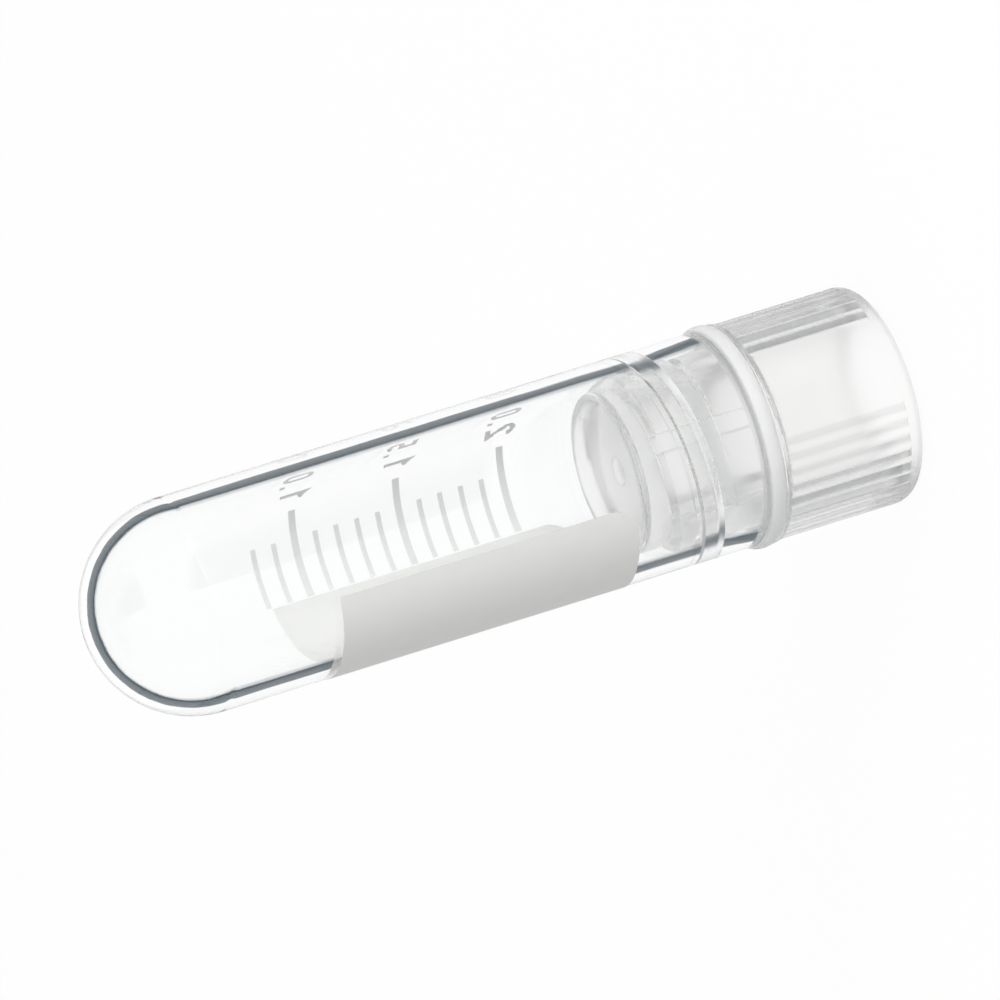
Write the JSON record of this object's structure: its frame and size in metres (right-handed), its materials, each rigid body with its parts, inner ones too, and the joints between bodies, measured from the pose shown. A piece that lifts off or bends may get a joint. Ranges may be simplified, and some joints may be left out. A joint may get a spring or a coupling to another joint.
{
  "type": "cryovial",
  "caption": "Clear round-bottomed cryogenic vial with a printed writing patch and scale, closed by a ribbed screw cap with a hollow threaded plug and a flat sealing ring.",
  "frame": {"origin": "centre of the cap's flat outer end, on which the closed vial stands", "axes": "+Z along the vial's axis from the cap to the round end; the bare side of the tube faces -Y, the scale faces +Y and the writing patch faces -X"},
  "size_m": [0.013, 0.013, 0.049],
  "materials": {
    "clear_polypropylene": "clear, polished moulding",
    "natural_polypropylene": "translucent, satin moulding",
    "silicone": "translucent, soft satin",
    "patch_ink": "matt pale grey ink for hand writing",
    "scale_ink": "matt white ink"
  },
  "bodies": {
    "cap": {"screw_cap": "natural_polypropylene"},
    "ring": {"sealing_ring": "silicone"},
    "tube": {"tube": "clear_polypropylene", "writing_patch": "patch_ink", "graduation_marks": "scale_ink", "graduation_numerals": "scale_ink"}
  },
  "joints": [
    {"name": "unscrew", "type": "hinge", "parent": "cap", "child": "ring", "pos_m": [0, 0, 0.00885], "axis": [0, 0, 1], "range_deg": [0, 1171]},
    {"name": "lift", "type": "slide", "parent": "ring", "child": "tube", "axis": [0, 0, 1], "range_m": [0, 0.00845]}
  ],
  "couplings": [
    {"joint": "unscrew", "follows": "lift", "rad_per_m": 2416.6}
  ]
}
